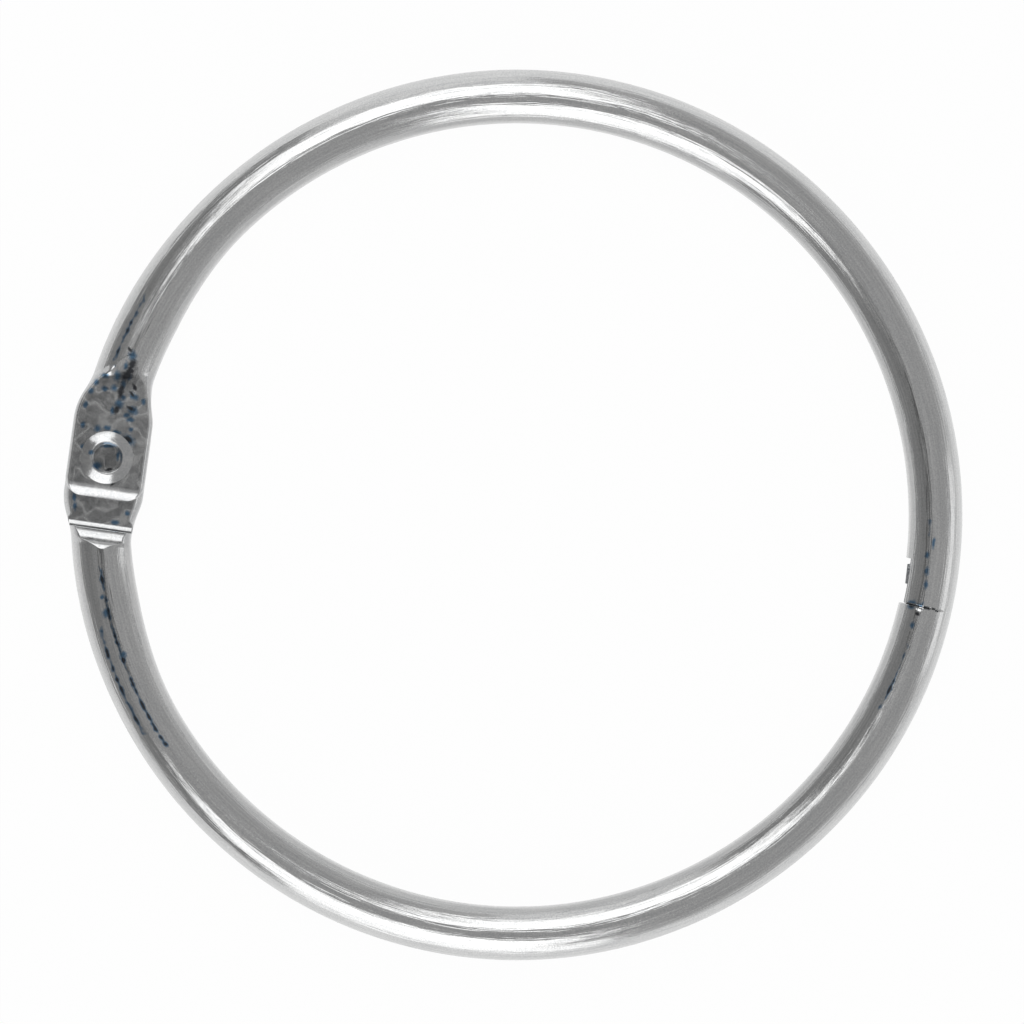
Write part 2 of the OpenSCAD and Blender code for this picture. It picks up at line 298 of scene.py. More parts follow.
def half_ring(name, end_angle):
    """Half a ring from its end face, at end_angle short of +X, round to the plate on -X."""
    tip_s = RING_R * (math.pi - end_angle)
    mesh = bmesh.new()
    rings = []
    for s in stations(tip_s):
        points, a, top, mating = wire_section(s, tip_s)
        outline = resampled(points, a, corner_angles(a, top, mating))
        rings.append([mesh.verts.new(p * MM) for p in outline])
    for ring, following in zip(rings, rings[1:]):
        for i in range(len(ring)):
            j = (i + 1) % len(ring)
            face = mesh.faces.new((ring[i], following[i], following[j], ring[j]))
            out = math.hypot(ring[i].co.x, ring[i].co.y) / MM - RING_R
            # The spans take the sheared steel at the end's edge: painted shade along the seam
            in_seam_shade = any(start < out < end for start, end in SEAM_SHADE_SPANS)
            face.material_index = int(following in rings[-SEAM_SHADE_SECTIONS:] and in_seam_shade)
    mesh.faces.new(rings[0])
    mesh.faces.new(list(reversed(rings[-1]))).material_index = 1
    return as_object(name, mesh)


def as_object(name, mesh):
    """Puts a finished mesh into the scene as an object."""
    bmesh.ops.recalc_face_normals(mesh, faces=mesh.faces)
    data = bpy.data.meshes.new(name)
    mesh.to_mesh(data)
    mesh.free()
    made = bpy.data.objects.new(name, data)
    bpy.context.scene.collection.objects.link(made)
    return made


def combine(body, tool, operation):
    """Cuts or joins a tool shape with a piece's mesh, and takes the tool away."""
    cut = body.modifiers.new("cut", "BOOLEAN")
    cut.operation = operation
    cut.solver = "EXACT"
    cut.material_mode = "TRANSFER"
    cut.object = tool
    graph = bpy.context.evaluated_depsgraph_get()
    result = bpy.data.meshes.new_from_object(body.evaluated_get(graph))
    body.modifiers.clear()
    body.data = result
    bpy.data.objects.remove(tool)


def smooth_up_to(piece, degrees):
    """Smooth shading, with a crease wherever two faces meet at more than this."""
    piece.data.polygons.foreach_set("use_smooth", [True] * len(piece.data.polygons))
    piece.data.set_sharp_from_angle(angle=math.radians(degrees))


def bore_tool():
    """The punch for the rivet's hole."""
    mesh = bmesh.new()
    made = bmesh.ops.create_cone(mesh, cap_ends=True, segments=ROUND_SEGMENTS, radius1=BORE_R * MM,
                                 radius2=BORE_R * MM, depth=BORE_TOOL_H * MM)
    bmesh.ops.translate(mesh, verts=made["verts"], vec=(-HINGE_R * MM, 0, 0))
    return as_object("bore_tool", mesh)


def prism(name, outline, half_t, edge=0.0):
    """A flat shape of even thickness about the mid-plane, with its edges just broken."""
    mesh = bmesh.new()
    low = [mesh.verts.new((x * MM, y * MM, -half_t * MM)) for x, y in outline]
    high = [mesh.verts.new((x * MM, y * MM, half_t * MM)) for x, y in outline]
    mesh.faces.new(low)
    mesh.faces.new(high)
    for i in range(len(low)):
        j = (i + 1) % len(low)
        mesh.faces.new((low[i], low[j], high[j], high[i]))
    if edge:
        rims = [e for e in mesh.edges if abs(e.verts[0].co.z - e.verts[1].co.z) < 1e-9]
        bmesh.ops.bevel(mesh, geom=rims, offset=edge * MM, segments=3, profile=0.5, affect="EDGES")
    return as_object(name, mesh)


def at_seam(out, along):
    """A point by the closure: out from the wire's centre line, along from the seam."""
    c, s = math.cos(-SEAM_ANGLE), math.sin(-SEAM_ANGLE)
    return (RING_R + out) * c - along * s, (RING_R + out) * s + along * c


PIVOT_TO_SEAM = math.hypot(at_seam(0, 0)[0] + HINGE_R, at_seam(0, 0)[1])


def swing_edge(r_out, start, end, steps=12):
    """Points along the closure on a circle about the hinge, so that they slide as it opens."""
    edge = []
    for along in np.linspace(start, end, steps):
        out = r_out
        for _ in range(SETTLE):
            x, y = at_seam(out, along)
            out += PIVOT_TO_SEAM + r_out - math.hypot(x + HINGE_R, y)
        edge.append(at_seam(out, along))
    return edge


TONGUE_OUT = 0.75     # the tongue's outer edge, from the wire's centre line
TONGUE_L = 2.65
TONGUE_T = 1.9
SLOT_CLEAR = 0.06
SLOT_L = 2.9
PAST_SEAM = -1        # how far tongue and slot reach back over the seam
PAST_WIRE = -3        # and the slot over the wire's inner side
half_gap = SEAM_GAP / 2 / RING_R


def linear(hex_colour):
    """An sRGB hex colour as the linear values that Blender's sockets take."""
    parts = [int(hex_colour[i:i + 2], 16) / 255 for i in (1, 3, 5)]
    return [c / 12.92 if c <= 0.04045 else ((c + 0.055) / 1.055) ** 2.4 for c in parts] + [1.0]


def add_node(tree, kind, inputs=(), **settings):
    """Adds a node. An input is a socket to link from, or a value."""
    node = tree.nodes.new(kind)
    for key, value in settings.items():
        setattr(node, key, value)
    for socket, source in dict(inputs).items():
        if isinstance(source, bpy.types.NodeSocket):
            tree.links.new(source, node.inputs[socket])
        else:
            node.inputs[socket].default_value = source
    return node


FAR = 9.0             # a distance past any mark, when a mark has 1 on its outline


def spot(tree, flat, x, y, half_length, half_width, turn):
    """Distance from an oval mark's middle, with 1 on its outline."""
    local = add_node(tree, "ShaderNodeMapping",
                     {"Vector": flat, "Location": (x * MM, y * MM, 0),
                      "Rotation": (0, 0, math.radians(turn)),
                      "Scale": (half_length * MM, half_width * MM, 1)}, vector_type="TEXTURE")
    return add_node(tree, "ShaderNodeVectorMath", {0: local.outputs[0]},
                    operation="LENGTH").outputs["Value"]


def draw_line(tree, across, angle, radius, start, end, half_width=0.11):
    """Distance from a line along the wire, with about 1 on its outline. The line is broken into
    dashes of about half a millimetre."""
    offset = add_node(tree, "ShaderNodeMath", {0: across, 1: radius * MM},
                      operation="SUBTRACT").outputs[0]
    offset = add_node(tree, "ShaderNodeMath", {0: offset}, operation="ABSOLUTE").outputs[0]
    sideways = add_node(tree, "ShaderNodeMath", {0: offset, 1: half_width * MM},
                        operation="DIVIDE").outputs[0]
    midway = add_node(tree, "ShaderNodeMath", {0: angle, 1: math.radians((start + end) / 2)},
                      operation="SUBTRACT").outputs[0]
    midway = add_node(tree, "ShaderNodeMath", {0: midway}, operation="ABSOLUTE").outputs[0]
    past_end = add_node(tree, "ShaderNodeMath", {0: midway, 1: math.radians((end - start) / 2)},
                        operation="SUBTRACT").outputs[0]
    endways = add_node(tree, "ShaderNodeMath", {0: past_end, 1: 2 * RING_R, 2: 1.0},
                       operation="MULTIPLY_ADD").outputs[0]
    away = add_node(tree, "ShaderNodeMath", {0: sideways, 1: endways}, operation="MAXIMUM").outputs[0]
    place = add_node(tree, "ShaderNodeTexCoord").outputs["Object"]
    dash, gap_share, contrast = 0.45, 1.35, 3.3
    dashes = add_node(tree, "ShaderNodeTexNoise", {"Vector": place, "Scale": 1 / (dash * MM),
                                                   "Detail": 0.0}).outputs["Fac"]
    away = add_node(tree, "ShaderNodeMath", {0: away, 1: gap_share}, operation="SUBTRACT").outputs[0]
    return add_node(tree, "ShaderNodeMath", {0: dashes, 1: contrast, 2: away},
                    operation="MULTIPLY_ADD").outputs[0]


def nickel_plate(name, roughness, stains_and_shade, scars_and_shade, nicks, draw_lines=()):
    """Bright nickel plating over steel, clear as a mirror. Along the drawn wire it has fine lines,
    which pull its reflections into streaks. The plates, where the dies have pressed it, are duller
    and darker, with small marks. Stains are thin and blue and scars black: some hold grime, and
    others are painted shade and painted dark reflections, as the lists of marks say. Nicks are small
    dents. Draw lines are long ones with tarnish in them, each with its radius on the ring and its
    two ends, in degrees from the middle of the half."""
    material = bpy.data.materials.new(name)
    material.use_nodes = True
    tree = material.node_tree
    tree.nodes.clear()
    place = add_node(tree, "ShaderNodeTexCoord").outputs["Object"]
    axes = add_node(tree, "ShaderNodeSeparateXYZ", {0: place}).outputs
    side = add_node(tree, "ShaderNodeMath", {0: axes["Y"]}, operation="ABSOLUTE").outputs[0]
    angle = add_node(tree, "ShaderNodeMath", {0: axes["X"], 1: side}, operation="ARCTAN2").outputs[0]
    flat = add_node(tree, "ShaderNodeCombineXYZ", {0: axes["X"], 1: axes["Y"]}).outputs[0]
    across = add_node(tree, "ShaderNodeVectorMath", {0: flat}, operation="LENGTH").outputs["Value"]
    along = add_node(tree, "ShaderNodeMath", {0: angle, 1: RING_R * MM}, operation="MULTIPLY").outputs[0]
    on_wire = add_node(tree, "ShaderNodeCombineXYZ", {0: along, 1: across, 2: axes["Z"]}).outputs[0]

    # Drawing lines: their spacing round the wire, their length and their depth
    line_gap, line_length, line_depth = 0.14, 4.0, 0.022
    stretched = add_node(tree, "ShaderNodeVectorMath", {0: on_wire, 1: (line_gap / line_length, 1, 1)},
                         operation="MULTIPLY").outputs[0]
    lines = add_node(tree, "ShaderNodeTexNoise", {"Vector": stretched, "Scale": 1 / (line_gap * MM),
                                                  "Detail": 2.0, "Roughness": 0.6}).outputs["Fac"]
    # Die marks: dents half a millimetre across, and thin curved ridges between them
    dent_size, ridge_gap, dent_share, mark_depth = 0.6, 1.1, 0.65, 0.0075
    dents = add_node(tree, "ShaderNodeTexNoise", {"Vector": place, "Scale": 1 / (dent_size * MM),
                                                  "Detail": 2.0, "Distortion": 0.6}).outputs["Fac"]
    curves = add_node(tree, "ShaderNodeTexNoise", {"Vector": place, "Scale": 1 / (ridge_gap * MM),
                                                   "Detail": 0.0, "Distortion": 0.5}).outputs["Fac"]
    from_ridge = add_node(tree, "ShaderNodeMath", {0: curves, 1: 0.5}, operation="SUBTRACT").outputs[0]
    from_ridge = add_node(tree, "ShaderNodeMath", {0: from_ridge}, operation="ABSOLUTE").outputs[0]
    ridges = add_node(tree, "ShaderNodeMapRange", {"Value": from_ridge, "From Min": 0.0,
                                                   "From Max": 0.1, "To Min": 0.39, "To Max": 0.17},
                      interpolation_type="SMOOTHSTEP").outputs["Result"]
    marks = add_node(tree, "ShaderNodeMath", {0: dents, 1: dent_share, 2: ridges},
                     operation="MULTIPLY_ADD").outputs[0]
    # They cover the hinge end, and fade out between these distances from the pivot
    full_to, gone_at = 4.8, 6.4
    near = add_node(tree, "ShaderNodeMapRange", {"Value": side, "From Min": gone_at * MM,
                                                 "From Max": full_to * MM},
                    interpolation_type="SMOOTHSTEP").outputs["Result"]
    on_hinge = add_node(tree, "ShaderNodeMath", {0: axes["X"], 1: 0.0}, operation="LESS_THAN").outputs[0]
    pressed = add_node(tree, "ShaderNodeMath", {0: near, 1: on_hinge}, operation="MULTIPLY").outputs[0]
    skin = add_node(tree, "ShaderNodeMix", {"Factor": pressed, 2: lines, 3: marks},
                    data_type="FLOAT").outputs[0]
    depth = add_node(tree, "ShaderNodeMix", {"Factor": pressed, 2: line_depth * MM,
                                             3: mark_depth * MM}, data_type="FLOAT").outputs[0]
    height = add_node(tree, "ShaderNodeMath", {0: skin, 1: depth}, operation="MULTIPLY").outputs[0]
    for *place_and_size, rise in nicks:
        away = spot(tree, flat, *place_and_size)
        dent = add_node(tree, "ShaderNodeMapRange", {"Value": away, "From Min": 0.0, "From Max": 1.0,
                                                     "To Min": rise * MM, "To Max": 0.0},
                        interpolation_type="SMOOTHSTEP").outputs["Result"]
        height = add_node(tree, "ShaderNodeMath", {0: height, 1: dent}, operation="ADD").outputs[0]
    bump = add_node(tree, "ShaderNodeBump", {"Height": height, "Strength": 1.0, "Distance": 1.0})

    # The tops of lines and marks are rubbed dull, and the pressed plate is duller all over
    duller = 0.065
    gloss = add_node(tree, "ShaderNodeMapRange",
                     {"Value": skin, "From Min": 0.3, "From Max": 0.7, "To Min": roughness * 0.7,
                      "To Max": roughness * 1.4}).outputs["Result"]
    gloss = add_node(tree, "ShaderNodeMath", {0: pressed, 1: duller, 2: gloss},
                     operation="MULTIPLY_ADD").outputs[0]
    # Fine pores in the plating, and a darker tone where it is pressed
    pore_gap, darker = 0.1, -0.13
    pores = add_node(tree, "ShaderNodeTexNoise", {"Vector": place, "Scale": 1 / (pore_gap * MM),
                                                  "Detail": 1.0}).outputs["Fac"]
    tone = add_node(tree, "ShaderNodeMix", {"Factor": 0.5, 2: skin, 3: pores},
                    data_type="FLOAT").outputs[0]
    tone = add_node(tree, "ShaderNodeMath", {0: pressed, 1: darker, 2: tone},
                    operation="MULTIPLY_ADD").outputs[0]
    colour = add_node(tree, "ShaderNodeValToRGB", {"Fac": tone})
    colour.color_ramp.elements[0].position = 0.3
    colour.color_ramp.elements[0].color = linear("#BCBDBE")
    colour.color_ramp.elements[1].position = 0.7
    colour.color_ramp.elements[1].color = linear("#DADAD9")
    surface = colour.outputs["Color"]
    # Stains and scars have ragged edges. The long draw lines are stained too, and the narrower
    # cores of their dashes are black.
    ragged_size, raggedness, full = 0.25, 1.1, 1.05
    core_slope, core_inset = 1.5, 0.3
    ragged = add_node(tree, "ShaderNodeTexNoise", {"Vector": place, "Scale": 1 / (ragged_size * MM),
                                                   "Detail": 1.0}).outputs["Fac"]
    lined = [draw_line(tree, across, angle, *line) for line in draw_lines]
    cores = [add_node(tree, "ShaderNodeMath", {0: away, 1: core_slope, 2: core_inset},
                      operation="MULTIPLY_ADD").outputs[0] for away in lined]
    # Blue stains and black marks: grime, and for some marks painted shade and painted dark reflections
    for spots, in_lines, grime_and_shade, fade in ((stains_and_shade, lined, "#6686A2", 2.05),
                                         (scars_and_shade, cores, "#505256", 1.8)):
        closest = FAR
        for away in [spot(tree, flat, *mark) for mark in spots] + in_lines:
            closest = add_node(tree, "ShaderNodeMath", {0: away, 1: closest},
                               operation="MINIMUM").outputs[0]
        edge = add_node(tree, "ShaderNodeMath", {0: ragged, 1: raggedness, 2: closest},
                        operation="MULTIPLY_ADD").outputs[0]
        held = add_node(tree, "ShaderNodeMapRange", {"Value": edge, "From Min": fade,
                                                     "From Max": full}).outputs["Result"]
        surface = add_node(tree, "ShaderNodeMix", {"Factor": held, 6: surface, 7: linear(grime_and_shade)},
                           data_type="RGBA").outputs[2]
    shader = add_node(tree, "ShaderNodeBsdfPrincipled",
                      {"Base Color": surface, "Roughness": gloss, "Metallic": 1.0,
                       "Normal": bump.outputs["Normal"]})
    add_node(tree, "ShaderNodeOutputMaterial", {"Surface": shader.outputs["BSDF"]})
    return material


def cut_steel(name, hollows, tops):
    """Steel that is sheared, not drawn: the plating is thin and dull over its torn grain, so it
    looks matt and grey. It takes the colours of the grain's hollows and of its tops."""
    material = bpy.data.materials.new(name)
    material.use_nodes = True
    tree = material.node_tree
    tree.nodes.clear()
    place = add_node(tree, "ShaderNodeTexCoord").outputs["Object"]
    grain_size, grain_depth = 0.15, 0.03
    grain = add_node(tree, "ShaderNodeTexNoise", {"Vector": place, "Scale": 1 / (grain_size * MM),
                                                  "Detail": 3.0}).outputs["Fac"]
    colour = add_node(tree, "ShaderNodeValToRGB", {"Fac": grain})
    colour.color_ramp.elements[0].position = 0.35
    colour.color_ramp.elements[0].color = linear(hollows)
    colour.color_ramp.elements[1].position = 0.7
    colour.color_ramp.elements[1].color = linear(tops)
    depth = add_node(tree, "ShaderNodeMath", {0: grain, 1: grain_depth * MM},
                     operation="MULTIPLY").outputs[0]
    bump = add_node(tree, "ShaderNodeBump", {"Height": depth, "Strength": 1.0, "Distance": 1.0})
    shader = add_node(tree, "ShaderNodeBsdfPrincipled",
                      {"Base Color": colour.outputs["Color"], "Roughness": 0.5, "Metallic": 1.0,
                       "Normal": bump.outputs["Normal"]})
    add_node(tree, "ShaderNodeOutputMaterial", {"Surface": shader.outputs["BSDF"]})
    return material


# Sheared steel for the end faces, the seam's edge and the slot walls, darker than the tongue's copy of
# it: the darker tone is painted shade in the seam and the slot.
shaded_sheared_steel = cut_steel("sheared_steel_painted_shade", "#3A3D40", "#8B8D8F")
WIRE_ROUGHNESS = 0.14
# Each mark: its place, half length, half width and turn in degrees, and for a nick its rise
plate_stains_and_seam_shade = [
    (-26.1, 6.75, 0.3, 0.25, 90), (-26.9, 5.35, 0.3, 0.2, 90), (-27.0, 4.55, 0.2, 0.2, 0),
    (-26.55, 3.55, 0.3, 0.25, 90), (-27.7, 5.25, 0.25, 0.15, 0), (-27.6, 4.4, 0.2, 0.15, 0),
    (-28.45, 4.15, 0.2, 0.15, 70), (-28.2, 4.75, 0.2, 0.15, 70), (-28.7, 3.2, 0.2, 0.15, 75),
    (-28.7, 1.9, 0.2, 0.15, 90), (-28.5, 0.5, 0.15, 0.15, 0), (-27.7, 1.8, 0.2, 0.2, 0),
    (-27.1, 1.9, 0.25, 0.15, 0), (-26.45, 1.7, 0.25, 0.15, 0), (-25.0, 3.9, 0.2, 0.15, 90),
    (-25.55, 2.0, 0.15, 0.15, 0), (-25.7, 2.65, 0.25, 0.15, 0), (-25.65, 4.15, 0.3, 0.2, 150),
    (-25.6, 3.25, 0.3, 0.25, 160), (-25.6, 1.3, 0.4, 0.3, 150),
    (-26.45, 6.05, 0.25, 0.15, 90), (-26.15, 5.4, 0.25, 0.15, 90), (-26.45, 4.9, 0.3, 0.15, 90),
    (-26.9, 3.05, 0.25, 0.15, 90), (-26.35, 4.0, 0.2, 0.15, 130), (-25.95, 2.9, 0.2, 0.15, 20),
    (*at_seam(-0.30, 1.46), 0.13, 0.24, 0), (*at_seam(-0.44, 2.32), 0.15, 0.26, 0),
    (*at_seam(-0.66, 3.35), 0.13, 0.2, 0), (*at_seam(-0.42, 4.2), 0.1, 0.35, 0),
    # the last, by the seam's inner side, is painted shade in the gap
    (*at_seam(-0.9, 0.1), 0.24, 0.2, 0),
]
# Black marks. The first, long one is a painted dark reflection on the plate's run-out; the others hold
# grime.
plate_scars_and_dark_reflection = [
    (-26.25, 5.55, 0.75, 0.35, 62), (-26.05, 6.15, 0.45, 0.3, 84), (-26.55, 4.4, 0.5, 0.2, 90),
    (-26.65, 3.15, 0.3, 0.2, 70), (-26.15, 5.95, 0.3, 0.2, 75),
    (-25.7, 4.75, 0.25, 0.12, 120), (-25.7, 1.35, 0.35, 0.2, 150), (-25.75, 3.35, 0.3, 0.12, 155),
    (-26.35, 7.15, 0.2, 0.1, 135), (-26.2, -1.55, 0.25, 0.1, 60), (-25.8, 4.3, 0.25, 0.08, 140),
]
plate_nicks = [(-27.4, 5.65, 0.5, 0.4, 41, 0.09)]
plate_lines = [(27.95, -77, -67), (26.78, 83.2, 85.2)]
slotted = half_ring("slotted_half_ring", -SEAM_ANGLE + half_gap)
slotted.data.materials.append(nickel_plate("nickel_plated_wire", WIRE_ROUGHNESS, plate_stains_and_seam_shade,
                                           plate_scars_and_dark_reflection, plate_nicks, plate_lines))
slotted.data.materials.append(shaded_sheared_steel)
combine(slotted, bore_tool(), "DIFFERENCE")
slot_outline = [at_seam(PAST_WIRE, PAST_SEAM), at_seam(PAST_WIRE, SLOT_L),
                *swing_edge(TONGUE_OUT + SLOT_CLEAR, SLOT_L, PAST_SEAM)]
slot_tool = prism("slot_tool", slot_outline, TONGUE_T / 2 + SLOT_CLEAR)
slot_tool.data.materials.append(shaded_sheared_steel)
combine(slotted, slot_tool, "DIFFERENCE")
SHARP_FROM = 35       # degrees between faces
smooth_up_to(slotted, SHARP_FROM)
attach(slotted, "slotted")
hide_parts("slotted_half")

# ---- Tongued half ring --------------------------------------------------------------------
# The lower half: the same wire and the same pressed plate, turned over so that it laps under
# the other. Its free end is thinned to a flat tongue, with a barb on the inner edge that
# springs into the slot.
tongued = half_ring("tongued_half_ring", SEAM_ANGLE + half_gap)
step_stains_and_seam_shade = [(-28.6, -2.85, 0.25, 0.12, 98), (-28.5, -3.4, 0.25, 0.12, 98),
               (-25.75, -4.1, 0.25, 0.15, 0), (-25.05, -3.4, 0.15, 0.15, 0),
               (-25.9, -9.0, 0.15, 0.12, 80), (-25.5, -10.0, 0.3, 0.2, 80),
               (-24.05, -12.55, 0.25, 0.2, 70),
               # the last, by the seam's inner side, is painted shade in the gap
               (*at_seam(-0.56, -1.3), 0.13, 0.2, 0), (*at_seam(-0.9, -0.1), 0.2, 0.2, 0)]
# Both by the seam and painted: a dark reflection beside the end's glint, and shade in the gap at the
# inner side
seam_shade_marks = [(*at_seam(-0.42, -0.52), 0.16, 0.12, 0), (*at_seam(-0.9, -0.08), 0.14, 0.12, 0)]
barb_nicks = [(*at_seam(-0.36, -0.14), 0.3, 0.2, 0, -0.03)]
step_lines = [(27.21, -75.1, -48.5), (28.02, -66.3, -52), (26.68, 70, 79, 0.08)]
tongued.data.materials.append(nickel_plate("nickel_plated_wire_below", WIRE_ROUGHNESS, step_stains_and_seam_shade,
                                           seam_shade_marks, barb_nicks, step_lines))
tongued.data.materials.append(shaded_sheared_steel)
combine(tongued, bore_tool(), "DIFFERENCE")
# Turned over about the line through hinge and closure
for vertex in tongued.data.vertices:
    vertex.co.y *= -1
    vertex.co.z *= -1
TONGUE_IN = -1.25     # the tongue's inner edge
BARB_FROM = 1.2       # the barb's two ends, from the seam, and how far in it stands at each
BARB_TO = 2.5
BARB_IN = (-1.6, -1.74)
BARB_LEAN = 0.06      # of its steep side
NOSE = (-1.3, 0.25)   # the flat of the tongue's nose
NOSE_CORNER = 2.25    # where its outer corner is cut off, from the seam
TONGUE_EDGE = 0.05
tongue_outline = [
    at_seam(TONGUE_IN, PAST_SEAM), at_seam(TONGUE_IN, BARB_FROM),
    at_seam(BARB_IN[0], BARB_FROM + BARB_LEAN), at_seam(BARB_IN[1], BARB_TO),
    at_seam(NOSE[0], TONGUE_L), at_seam(NOSE[1], TONGUE_L),
    *swing_edge(TONGUE_OUT, NOSE_CORNER, PAST_SEAM),
]
tongue = prism("tongue_tool", tongue_outline, TONGUE_T / 2, edge=TONGUE_EDGE)
# The tongue's lighter copy of the sheared steel; the seam's darker one is painted shade
tongue.data.materials.append(cut_steel("sheared_tongue", "#66696C", "#ADAFB1"))
combine(tongued, tongue, "UNION")
smooth_up_to(tongued, SHARP_FROM)
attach(tongued, "tongued")
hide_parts("tongued_half")

# ---- Hinge rivet --------------------------------------------------------------------------
# A semi-tubular steel rivet, nickel plated. Its domed head is under the lower plate, and its
# hollow end is rolled over the upper one into a rim round a flat dimple.
SHANK_R = 1.15
HEAD_R = 1.7
HEAD_H = 0.42
HEAD_EDGE = 0.13      # height of the head's straight edge, under the dome
RIM_R = 3.6           # radius of the dome that the rolled rim is part of
RIM_LIP = 0.05        # rounding of the rim's inner edge
LIP_SINK = 0.02       # and how far that sits below the dome
RIM_EDGE = 0.02       # its outer edge, just clear of the plate
DIMPLE_R = 0.9
DIMPLE_DEPTH = 0.3
DIMPLE_SLOPE = 0.1    # how much wider the dimple is at its mouth
DIMPLE_CORNER = 0.04
RIVET_ROUGHNESS = 0.1


def arc_points(centre, radius, start, end, count):
    """Points on an arc, from one angle to another."""
    angles = np.radians(np.linspace(start, end, count))
    return [(centre[0] + radius * math.cos(t), centre[1] + radius * math.sin(t)) for t in angles]


def turned_profile():
    """Radius and height of the rivet's outline, from the top of its axis to the bottom."""
    top = PLATE_FACE + HEAD_H
    rim_seat = PLATE_FACE + RIM_EDGE
    mouth_r = DIMPLE_R + DIMPLE_SLOPE
    rim_centre = top - math.sqrt(RIM_R**2 - mouth_r**2)
    mouth_tilt = math.degrees(math.asin(mouth_r / RIM_R))
    edge_tilt = math.degrees(math.asin(HEAD_R / RIM_R))
    lip_centre = (mouth_r + RIM_LIP, top - RIM_LIP - LIP_SINK)
    dome_h = HEAD_H - HEAD_EDGE
    dome_r = (HEAD_R**2 + dome_h**2) / (2 * dome_h)
    head_tilt = math.degrees(math.asin(HEAD_R / dome_r))
    return [
        (0, top - DIMPLE_DEPTH),
        (DIMPLE_R - DIMPLE_CORNER, top - DIMPLE_DEPTH),
        (DIMPLE_R, top - DIMPLE_DEPTH + DIMPLE_CORNER),
        *arc_points(lip_centre, RIM_LIP, 165, 90 - mouth_tilt, 6),
        *arc_points((0, rim_centre), RIM_R, 88 - mouth_tilt, 90 - edge_tilt, 16),
        (HEAD_R, rim_seat + RIM_EDGE),
        (HEAD_R - RIM_EDGE, rim_seat),
        (SHANK_R, rim_seat),
        (SHANK_R, -PLATE_FACE),
        (HEAD_R, -PLATE_FACE),
        *arc_points((0, dome_r - PLATE_FACE - HEAD_H), dome_r, head_tilt - 90, -90, 20)[:-1],
        (0, -PLATE_FACE - HEAD_H),
    ]


def turned(name, profile, segments=ROUND_SEGMENTS):
    """A profile turned about the pivot."""
    mesh = bmesh.new()
    rings = []
    for r, z in profile:
        if r == 0:
            rings.append([mesh.verts.new((-HINGE_R * MM, 0, z * MM))])
            continue
        rings.append([mesh.verts.new(((-HINGE_R + r * math.cos(t)) * MM, r * math.sin(t) * MM, z * MM))
                      for t in np.linspace(0, 2 * math.pi, segments, endpoint=False)])
    for ring, following in zip(rings, rings[1:]):
        for i in range(segments):
            j = (i + 1) % segments
            corners = [ring[i % len(ring)], following[i % len(following)],
                       following[j % len(following)], ring[j % len(ring)]]
            mesh.faces.new(list(dict.fromkeys(corners)))
    return as_object(name, mesh)


# Marks in the rivet's dimple. The thin ones along its top, right and bottom edge are painted shade under
# the dimple's wall; the two others are stains.
dimple_stains_and_shade = [(-27.4, -0.6, 0.25, 0.2, 30), (-26.85, 0.75, 0.5, 0.1, 10),
                 (-26.15, 0.25, 0.3, 0.1, 90), (-27.9, 0.2, 0.15, 0.15, 0)]
dimple_edge_shade = [(-26.6, -0.75, 0.25, 0.1, 20)]
rivet = turned("hinge_rivet_steel", turned_profile())
smooth_up_to(rivet, SHARP_FROM)
rivet.data.materials.append(nickel_plate("nickel_plated_rivet", RIVET_ROUGHNESS, dimple_stains_and_shade,
                                         dimple_edge_shade, []))
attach(rivet, "tongued")
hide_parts("hinge_rivet")

# ---- Floor and light ----------------------------------------------------------------------
# A plain white table under two long soft boxes, one towards the view's top and one towards its
# bottom. The grey room between them is what the top of the wire mirrors.
TABLE_HALF = 3.0      # metres
floor_mesh = bmesh.new()
bmesh.ops.create_grid(floor_mesh, x_segments=1, y_segments=1, size=TABLE_HALF)
floor = as_object("floor", floor_mesh)
floor.location.z = cad_box[0][2]

# Matt white paper. To the eye it is plain white but for a trace of the ring's shadow, and the metal
# mirrors it as a dim sheet with bright parts: a painted glow, white light that only reflections see.
PLAIN_WHITE = 0.97
DIM, BRIGHT = 0.25, 0.95
paper = bpy.data.materials.new("white_paper")
paper.use_nodes = True
tree = paper.node_tree
tree.nodes.clear()
rays = add_node(tree, "ShaderNodeLightPath").outputs
mirrored = add_node(tree, "ShaderNodeMath", {0: rays["Is Glossy Ray"], 1: rays["Is Transmission Ray"]},
                    operation="MAXIMUM").outputs[0]
# A painted glow, seen only in reflections, out on the two sides that are nearest to the soft boxes
place = add_node(tree, "ShaderNodeTexCoord").outputs["Object"]
upward = add_node(tree, "ShaderNodeVectorMath", {0: place, 1: (*view_up, 0)},
                  operation="DOT_PRODUCT").outputs["Value"]
upward = add_node(tree, "ShaderNodeMath", {0: upward}, operation="ABSOLUTE").outputs[0]
painted_glow = add_node(tree, "ShaderNodeMapRange", {"Value": upward, "From Min": 25 * MM, "From Max": 31 * MM,
                                              "To Min": DIM, "To Max": BRIGHT}).outputs["Result"]
# and a painted glow in a band under the wire, a painted reflection that the wire's two rims mirror.
outward = add_node(tree, "ShaderNodeVectorMath", {0: place}, operation="LENGTH").outputs["Value"]
inner = add_node(tree, "ShaderNodeMapRange", {"Value": outward, "From Min": 21 * MM, "From Max": 24 * MM,
                                              "To Min": DIM, "To Max": BRIGHT}).outputs["Result"]
outer = add_node(tree, "ShaderNodeMapRange", {"Value": outward, "From Min": 42 * MM, "From Max": 34 * MM,
                                              "To Min": DIM, "To Max": BRIGHT}).outputs["Result"]
painted_rim_band = add_node(tree, "ShaderNodeMath", {0: inner, 1: outer}, operation="MINIMUM").outputs[0]
painted_glow = add_node(tree, "ShaderNodeMath", {0: painted_glow, 1: painted_rim_band}, operation="MAXIMUM").outputs[0]
